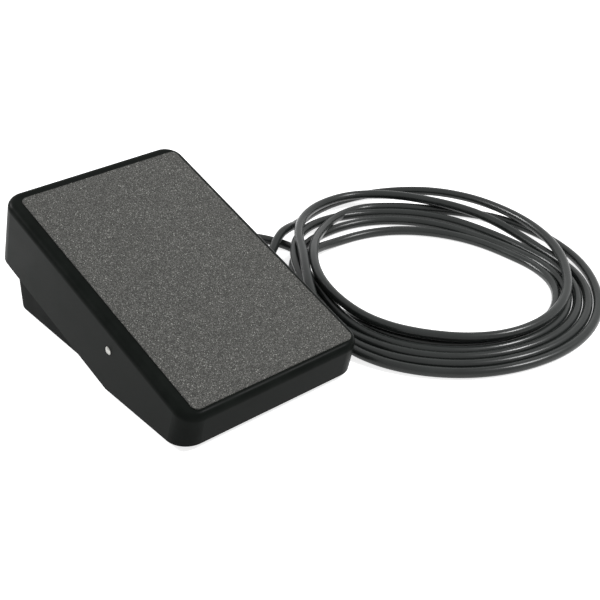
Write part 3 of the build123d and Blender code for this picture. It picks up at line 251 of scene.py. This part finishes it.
@dataclass(frozen=True)
class GritFinish:
    """Mineral grit in dark resin: each grain has its own grey, and the palest few are painted glints.

    Attributes:
        name: The material's name.
        grit_mm: Width of a grain.
        depth_mm: Height by which grains differ.
        specular: Level of its gloss, where 0.5 is a clean surface.
        stops: Share of the grains up to each colour, and the colour; the two near-white stops are
            painted glints.
    """

    name: str = "silicon_carbide_grit"
    grit_mm: float = 0.45
    depth_mm: float = 0.14
    specular: float = 0.15
    # the two palest stops are painted glints on a few grains; the rest is each grain's own grey
    stops: tuple[tuple[float, str], ...] = (
        (0.0, "#363635"), (0.5, "#4f4f4c"), (0.9, "#6c6c69"), (0.985, "#969692"), (1.0, "#cfcfc8"),
    )

    def build(self) -> bpy.types.Material:
        """Builds the material.

        Returns:
            The material with its finished node tree.
        """
        material, tree = blank_material(self.name)
        place = add_node(tree, "ShaderNodeTexCoord").outputs["Object"]
        grains = add_node(
            tree, "ShaderNodeTexVoronoi", {"Scale": 1 / (self.grit_mm * MM), "Randomness": 1.0},
            {"Vector": place}, feature="F1",
        )
        split = add_node(tree, "ShaderNodeSeparateColor", links={"Color": grains.outputs["Color"]})
        tint = add_node(tree, "ShaderNodeValToRGB", links={"Fac": split.outputs["Red"]})
        set_ramp(tint, list(self.stops))
        rough = add_node(
            tree, "ShaderNodeMapRange",
            {"From Min": 0.0, "From Max": 1.0, "To Min": 0.35, "To Max": 0.85},
            {"Value": split.outputs["Green"]},
        )
        bump = add_node(
            tree, "ShaderNodeBump", {"Strength": 0.8, "Distance": self.depth_mm * MM},
            {"Height": split.outputs["Blue"]},
        )
        shader = add_node(
            tree, "ShaderNodeBsdfPrincipled", {"IOR": 1.55, "Specular IOR Level": self.specular},
            {"Base Color": tint.outputs["Color"], "Roughness": rough.outputs["Result"],
             "Normal": bump.outputs["Normal"]},
        )
        add_node(tree, "ShaderNodeOutputMaterial", links={"Surface": shader.outputs["BSDF"]})
        return material


class Finish(Enum):
    """The finish of each material slot of the part."""

    # Moulded ABS with a fine spark-eroded grain: near black, with only a faint sheen.
    cover_plastic = MouldedFinish(
        "moulded_abs_cover", "#131614", "#191c1a", 0.33, 0.35, 0.006, specular=0.025
    )
    # Silicon carbide grit in black resin, as on anti-slip sheet: grey from a distance, with painted
    # glints on its palest grains.
    grit_sheet = GritFinish()
    # Moulded glass-filled nylon tray: a deeper black than the cover, and more matt.
    tray_plastic = MouldedFinish(
        "moulded_nylon_tray", "#0f1110", "#151716", 0.5, 0.45, 0.015, specular=0.02
    )
    # Moulded rubber feet and stops: matt, with a dusty bloom.
    foot_rubber = MouldedFinish("moulded_rubber", "#1e1e1e", "#2c2c2b", 0.72, 0.4, 0.02)
    # Turned and polished steel pin: a bright dot in the dark skirt, with fine turning marks.
    pin_steel = MetalFinish("turned_steel", "#b4b4b0", "#969692", 0.2, 0.4, (4.0, 1.0, 1.0))
    # Drawn spring wire and pressed spring steel: duller, with drawing marks.
    spring_steel = MetalFinish("drawn_spring_steel", "#a9aaa8", "#7c7d7b", 0.32, 0.5)
    # Unfilled nylon bushes: milky white.
    bush_nylon = MouldedFinish("natural_nylon", "#d9d6cb", "#c9c5b8", 0.45, 0.5, 0.01)
    # Moulded acetal gears: white, smooth, waxy.
    gear_acetal = MouldedFinish("natural_acetal", "#e2e0d8", "#d4d1c6", 0.38, 0.6, 0.01)
    # Zinc-plated screws: pale grey, a little cloudy.
    screw_steel = MetalFinish("zinc_plated_screws", "#b4b6b5", "#8f9190", 0.35, 1.2)
    # Drawn aluminium sensor can: satin grey.
    sensor_shell = MetalFinish("drawn_aluminium_can", "#b9babb", "#9b9c9d", 0.38, 0.6)
    # Zinc-plated folded sheet: pale grey with rolling marks.
    bracket_steel = MetalFinish("zinc_plated_sheet", "#b2b5b3", "#8e918f", 0.4, 0.8, (1.0, 1.0, 0.25))
    # Moulded thermoset switch case: black, smooth.
    switch_plastic = MouldedFinish("moulded_switch_case", "#232324", "#2d2d2e", 0.35, 0.7, 0.01)
    # Moulded acetal plunger: red, smooth.
    plunger_plastic = MouldedFinish("moulded_red_acetal", "#9c1f17", "#86180f", 0.35, 0.5, 0.01)
    # Soft PVC strain relief: black, satin.
    relief_rubber = MouldedFinish("moulded_pvc_relief", "#191b1a", "#222423", 0.48, 0.5, 0.02)
    # Extruded PVC cable jacket: dark grey, smooth satin with a thin highlight along each turn.
    cord_jacket = MouldedFinish(
        "extruded_pvc_jacket", "#232625", "#2c2f2e", 0.27, 0.8, 0.006, 1.52, 40.0, specular=0.3
    )
    # Moulded nylon clamp: dark grey, satin.
    clamp_plastic = MouldedFinish("moulded_nylon_clamp", "#2c2c2c", "#363636", 0.5, 0.5, 0.02)
    # Extruded PVC wire insulation: red, smooth.
    wire_insulation = MouldedFinish("extruded_red_pvc", "#a3231b", "#8f1b14", 0.3, 0.5, 0.005)
    # Moulded plug body: black, satin.
    plug_plastic = MouldedFinish("moulded_plug_body", "#1d1e1f", "#262728", 0.42, 0.5, 0.02)
    # Pressed phenolic insert: dark grey, matt.
    insert_plastic = MouldedFinish("pressed_phenolic", "#3a3a3b", "#444445", 0.55, 0.5, 0.01)
    # Plated coupling ring: satin grey, duller in its flutes.
    ring_metal = MetalFinish("plated_coupling_ring", "#8f9192", "#6f7172", 0.35, 0.8)


@dataclass
class CadDress:
    """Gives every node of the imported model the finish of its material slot."""

    materials: dict[str, bpy.types.Material]

    def apply(self) -> None:
        """Assigns each node's material and logs its slot."""
        slots = {part["node"]: part["material_slot"] for part in frame["record"]["subparts"]}
        for name, node in frame["nodes"].items():
            node.data.materials.clear()
            node.data.materials.append(self.materials[slots[name]])
            log.info("finish %s on %s", slots[name], name)


@dataclass(frozen=True)
class Coil:
    """Loose turns of cord on the floor beside the pedal, gathered at the left and fanned out elsewhere.

    Attributes:
        centre: The point that the turns go round, in millimetres.
        start: Direction of each turn's first station in degrees.
        before: Radius and height just ahead of the first turn.
        after: Radius and height just past the last one.
        turns: Radius and height of the cord's middle at each turn's twelve stations.
        cord_diameter: Diameter of the cord, which keeps it off the floor.
    """

    centre: tuple[float, float] = (205.0, -54.4)
    start: float = 135.0
    before: tuple[float, float] = (104.9, 3.9)
    after: tuple[float, float] = (126.0, 10.5)
    turns: tuple[tuple[tuple[float, float], ...], ...] = (
        # from the lead to the innermost pass
        ((101.5, 4.0), (95.0, 4.0), (94.0, 4.0), (101.0, 4.0), (105.0, 4.0), (105.0, 4.0),
         (95.0, 4.0), (75.0, 4.0), (69.0, 4.0), (71.0, 4.0), (79.0, 4.0), (90.0, 4.0)),
        ((101.5, 11.8), (95.0, 11.5), (102.0, 4.5), (109.0, 4.0), (113.0, 4.0), (113.0, 4.0),
         (103.0, 4.0), (83.0, 4.0), (77.0, 4.0), (86.0, 4.0), (100.0, 4.0), (108.0, 4.5)),
        ((110.5, 5.0), (103.0, 4.2), (110.0, 4.0), (117.0, 4.0), (121.0, 4.0), (121.0, 4.0),
         (111.0, 4.0), (92.0, 4.0), (89.0, 4.0), (101.0, 4.0), (115.0, 4.0), (120.0, 9.0)),
        # up to the loop that stands off at the top left
        ((108.0, 13.0), (103.0, 12.0), (119.0, 4.5), (126.0, 4.0), (130.0, 4.0), (129.0, 4.0),
         (119.0, 4.5), (101.0, 5.0), (100.0, 11.0), (114.0, 12.0), (139.0, 11.5), (125.0, 16.5)),
        ((101.0, 20.0), (105.0, 19.0), (127.0, 6.0), (136.0, 4.0), (139.0, 4.0), (137.0, 4.0),
         (128.0, 4.0), (121.0, 4.0), (117.0, 4.0), (113.0, 4.0), (125.0, 4.5), (104.0, 11.5)),
        # over the others along the bottom and out again at the top
        ((93.0, 19.0), (94.0, 19.0), (95.0, 12.2), (101.0, 12.0), (110.0, 12.0), (110.0, 12.0),
         (106.0, 12.0), (110.5, 12.0), (120.5, 12.0), (141.0, 8.5), (148.0, 4.0), (131.0, 7.5)),
    )
    cord_diameter: float = 7.5

    def points(self) -> list[tuple[float, float, float]]:
        """Works out the turns' points, with one more midway between each two stations.

        Returns:
            Points in millimetres, along the cord.
        """
        route = [self.before, *(place for turn in self.turns for place in turn), self.after]
        step = 360 / len(self.turns[0])
        points = []
        for index in range(1, len(route) - 1):
            angle = self.start + step * (index - 1)
            points.append(self.point(angle, *route[index]))
            if index < len(route) - 2:
                points.append(self.point(angle + step / 2, *self.midway(route[index - 1:index + 3])))
        return points

    def midway(self, places: list[tuple[float, float]]) -> tuple[float, float]:
        """Radius and height midway between the second and third of four stations, on a cubic.

        Args:
            places: Radius and height at four stations in a row.

        Returns:
            Radius and height, no lower than the floor allows.
        """
        first, second, third, fourth = places
        radius, height = (
            (9 * (second[axis] + third[axis]) - first[axis] - fourth[axis]) / 16 for axis in (0, 1)
        )
        return radius, max(height, self.cord_diameter / 2)

    def point(self, angle: float, radius: float, height: float) -> tuple[float, float, float]:
        """Turns a direction in degrees, a radius and a height into a point."""
        turn = math.radians(angle)
        return (
            self.centre[0] + radius * math.cos(turn), self.centre[1] + radius * math.sin(turn), height
        )


@dataclass
class CordSet:
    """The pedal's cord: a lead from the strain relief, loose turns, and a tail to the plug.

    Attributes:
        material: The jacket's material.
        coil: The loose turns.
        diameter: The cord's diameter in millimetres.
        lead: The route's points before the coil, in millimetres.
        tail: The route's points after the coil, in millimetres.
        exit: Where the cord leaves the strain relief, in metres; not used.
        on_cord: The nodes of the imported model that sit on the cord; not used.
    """

    material: bpy.types.Material
    coil: Coil
    diameter: float = 7.5
    lead: tuple[tuple[float, float, float], ...] = (
        (98.0, 82.0, 12.0), (116.5, 82.0, 12.0), (136.0, 72.0, 6.6), (147.5, 54.5, 3.9),
        (148.5, 34.0, 3.85),
    )
    tail: tuple[tuple[float, float, float], ...] = (
        (157.5, 65.0, 12.6), (143.5, 60.0, 12.9), (124.0, 46.0, 7.6), (107.5, 36.0, 4.4),
        (96.0, 22.5, 4.6), (90.0, 6.5, 8.6), (89.0, -8.0, 9.5), (89.0, -22.0, 9.5),
    )
    exit: tuple[float, float, float] = (0.080, 0.082, 0.012)
    on_cord: tuple[str, ...] = (
        "strain_relief", "cord_jacket_end", "plug_cable_clamp", "plug_shell", "plug_insert",
        "plug_coupling_ring",
    )

    def build(self) -> bpy.types.Object:
        """Returns:
            The cord's curve object.
        """
        route = [*self.lead, *self.coil.points(), *self.tail]
        data = bpy.data.curves.new("cord", "CURVE")
        data.dimensions = "3D"
        data.resolution_u = 8
        data.bevel_depth = self.diameter / 2 * MM
        data.bevel_resolution = 5
        data.use_fill_caps = True
        spline = data.splines.new("NURBS")
        spline.points.add(len(route) - 1)
        for point, place in zip(spline.points, route):
            point.co = (*(value * MM for value in place), 1.0)
        spline.order_u = 3
        spline.use_endpoint_u = True
        data.materials.append(self.material)
        cord = bpy.data.objects.new("cord", data)
        bpy.context.scene.collection.objects.link(cord)
        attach(cord, "base")
        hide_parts("cord_lead", "cord_coil", "cord_tail")
        log.info("cord %.3f m over %d points", self.length(cord), len(route))
        return cord

    def length(self, cord: bpy.types.Object) -> float:
        """Length of the cord's spline in metres."""
        return cord.data.splines[0].calc_length()


@dataclass
class ReturnSpring:
    """The round-wire spring under the toe side, built at its rest length only.

    Attributes:
        material: The wire's material.
        centre: Where its axis stands, in millimetres.
        bottom: Height of its lower end in millimetres.
        top: Height of its upper end at rest in millimetres.
        mean_diameter: Diameter of its helix along the wire's middle in millimetres.
        wire: The wire's diameter in millimetres.
        turns: How many turns it has.
        steps: Points per turn.
        crease: The angle in degrees above which an edge stays sharp.
        pressed_share: Share of its length that is left under the pressed pedal; not used.
    """

    material: bpy.types.Material
    centre: tuple[float, float] = (0.0, 30.5)
    bottom: float = 6.0
    top: float = 46.0
    mean_diameter: float = 20.0
    wire: float = 1.8
    turns: int = 5
    steps: int = 24
    crease: float = 40.0
    pressed_share: float = 0.51

    def build(self) -> bpy.types.Object:
        """Builds the spring at its rest height.

        Returns:
            The spring's mesh object.
        """
        bpy.ops.object.select_all(action="DESELECT")
        bpy.ops.curve.primitive_nurbs_path_add()
        spring = bpy.context.active_object
        data = spring.data
        data.splines.clear()
        spline = data.splines.new("NURBS")
        route = self.route()
        spline.points.add(len(route) - 1)
        for point, place in zip(spline.points, route):
            point.co = (*(value * MM for value in place), 1.0)
        spline.order_u = 3
        spline.use_endpoint_u = True
        data.resolution_u = 2
        data.bevel_depth = self.wire / 2 * MM
        data.bevel_resolution = 3
        data.use_fill_caps = True
        bpy.ops.object.convert(target="MESH")
        spring = bpy.context.active_object
        spring.name = "return_spring_wire"
        bpy.ops.object.shade_smooth_by_angle(angle=math.radians(self.crease))
        spring.data.materials.clear()
        spring.data.materials.append(self.material)
        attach(spring, "base")
        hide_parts("return_spring")
        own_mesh(spring)
        log.info("spring of %d turns", self.turns)
        return spring

    def route(self) -> list[tuple[float, float, float]]:
        """Works out points along the middle of the wire.

        Returns:
            Points in millimetres, from the bottom to the top.
        """
        count = self.turns * self.steps
        low, high = self.bottom + self.wire / 2, self.top - self.wire / 2
        radius = self.mean_diameter / 2
        return [
            (self.centre[0] + radius * math.cos(math.tau * index / self.steps),
             self.centre[1] + radius * math.sin(math.tau * index / self.steps),
             low + (high - low) * index / count)
            for index in range(count + 1)
        ]


@dataclass(frozen=True)
class Softbox:
    """A square softbox.

    Attributes:
        name: The lamp's name.
        place: Where it hangs.
        target: The point that it faces.
        size: Its side in metres.
        power: Its power in watts.
    """

    name: str
    place: tuple[float, float, float]
    target: tuple[float, float, float]
    size: float
    power: float

    def build(self) -> None:
        """Hangs the lamp."""
        data = bpy.data.lights.new(self.name, "AREA")
        data.shape = "SQUARE"
        data.size = self.size
        data.energy = self.power
        lamp = bpy.data.objects.new(self.name, data)
        lamp.location = self.place
        facing = Vector(self.target) - Vector(self.place)
        lamp.rotation_euler = facing.to_track_quat("-Z", "Y").to_euler()
        bpy.context.scene.collection.objects.link(lamp)


@dataclass
class Studio:
    """Camera, lamps and floor.

    Attributes:
        location: The camera's place.
        azimuth: The camera's turn about the vertical in degrees.
        elevation: How far it looks down in degrees.
        lens: Its focal length in millimetres.
        sensor: Its sensor's width in millimetres.
        near: The nearest distance that it sees.
        far: The farthest distance that it sees.
        floor_size: The floor's side in metres.
        surround: The world's strength as the object's light.
        floor_lift: What the floor adds to its own shade where it is seen, so that it comes out white.
        lamps: The softboxes.
    """

    location: tuple[float, float, float] = (-0.37980, -0.60486, 0.46792)
    azimuth: float = -39.37
    elevation: float = 31.50
    lens: float = 69.84
    sensor: float = 36.0
    near: float = 0.05
    far: float = 30.0
    floor_size: float = 12.0
    surround: float = 0.25
    floor_lift: float = 0.78
    lamps: tuple[Softbox, ...] = (
        Softbox("left_softbox", (-0.75, 1.3, 0.95), (0.0, 0.0, 0.05), 0.35, 19.0),
        Softbox("right_softbox", (0.8, -0.8, 1.35), (0.0, -0.05, 0.05), 0.35, 19.0),
    )

    def build(self) -> None:
        """Builds the camera, the lamps, the world and the floor."""
        bpy.context.scene.view_settings.view_transform = "Standard"
        self.camera()
        for lamp in self.lamps:
            lamp.build()
        self.world()
        self.floor()

    def camera(self) -> None:
        """Adds the camera at the photograph's place and makes it the scene's."""
        data = bpy.data.cameras.new("camera")
        data.lens = self.lens
        data.sensor_width = self.sensor
        data.clip_start, data.clip_end = self.near, self.far
        camera = bpy.data.objects.new("camera", data)
        camera.location = self.location
        camera.rotation_euler = (math.radians(90 - self.elevation), 0.0, math.radians(self.azimuth))
        bpy.context.scene.collection.objects.link(camera)
        bpy.context.scene.camera = camera

    def world(self) -> None:
        """A dim even surround, white where the camera sees it."""
        world = bpy.data.worlds.new("surround")
        bpy.context.scene.world = world
        world.use_nodes = True
        tree = world.node_tree
        tree.nodes.clear()
        level = add_node(
            tree, "ShaderNodeMapRange", {"To Min": self.surround, "To Max": 1.0},
            {"Value": self.seen(tree)},
        )
        glow = add_node(
            tree, "ShaderNodeBackground", {"Color": WHITE},
            {"Strength": level.outputs["Result"]},
        )
        add_node(tree, "ShaderNodeOutputWorld", links={"Surface": glow.outputs["Background"]})

    def seen(self, tree: bpy.types.NodeTree) -> bpy.types.NodeSocket:
        """Adds a value that is 1 for what the camera sees straight, in a gloss or through glass.

        Args:
            tree: The material's or world's node tree.

        Returns:
            The output that holds the value.
        """
        rays = add_node(tree, "ShaderNodeLightPath")
        seen = rays.outputs["Is Camera Ray"]
        for other in ("Is Glossy Ray", "Is Transmission Ray"):
            larger = add_node(
                tree, "ShaderNodeMath", links={0: seen, 1: rays.outputs[other]}, operation="MAXIMUM"
            )
            seen = larger.outputs["Value"]
        return seen

    def floor(self) -> None:
        """A white floor that keeps the object's soft shadow."""
        material, tree = blank_material("matt_white_paper")
        paper = add_node(tree, "ShaderNodeBsdfDiffuse", {"Color": linear("#f4f4f4")})
        lift = add_node(
            tree, "ShaderNodeMapRange", {"To Min": 0.0, "To Max": self.floor_lift},
            {"Value": self.seen(tree)},
        )
        glow = add_node(
            tree, "ShaderNodeEmission", {"Color": WHITE},
            {"Strength": lift.outputs["Result"]},
        )
        both = add_node(
            tree, "ShaderNodeAddShader", links={0: paper.outputs["BSDF"], 1: glow.outputs["Emission"]}
        )
        add_node(tree, "ShaderNodeOutputMaterial", links={"Surface": both.outputs["Shader"]})
        bpy.ops.object.select_all(action="DESELECT")
        bpy.ops.mesh.primitive_plane_add(size=self.floor_size, location=(0.0, 0.0, 0.0))
        floor = bpy.context.active_object
        floor.name = "studio_floor"
        floor.data.materials.append(material)


def main() -> None:
    """Builds the scene in order."""
    logging.basicConfig(level=logging.INFO, format="%(name)s: %(message)s")
    materials = {finish.name: finish.value.build() for finish in Finish}
    Studio().build()
    CordSet(materials["cord_jacket"], Coil()).build()
    ReturnSpring(materials["spring_steel"]).build()
    CadDress(materials).apply()


if __name__ == "__main__":
    main()
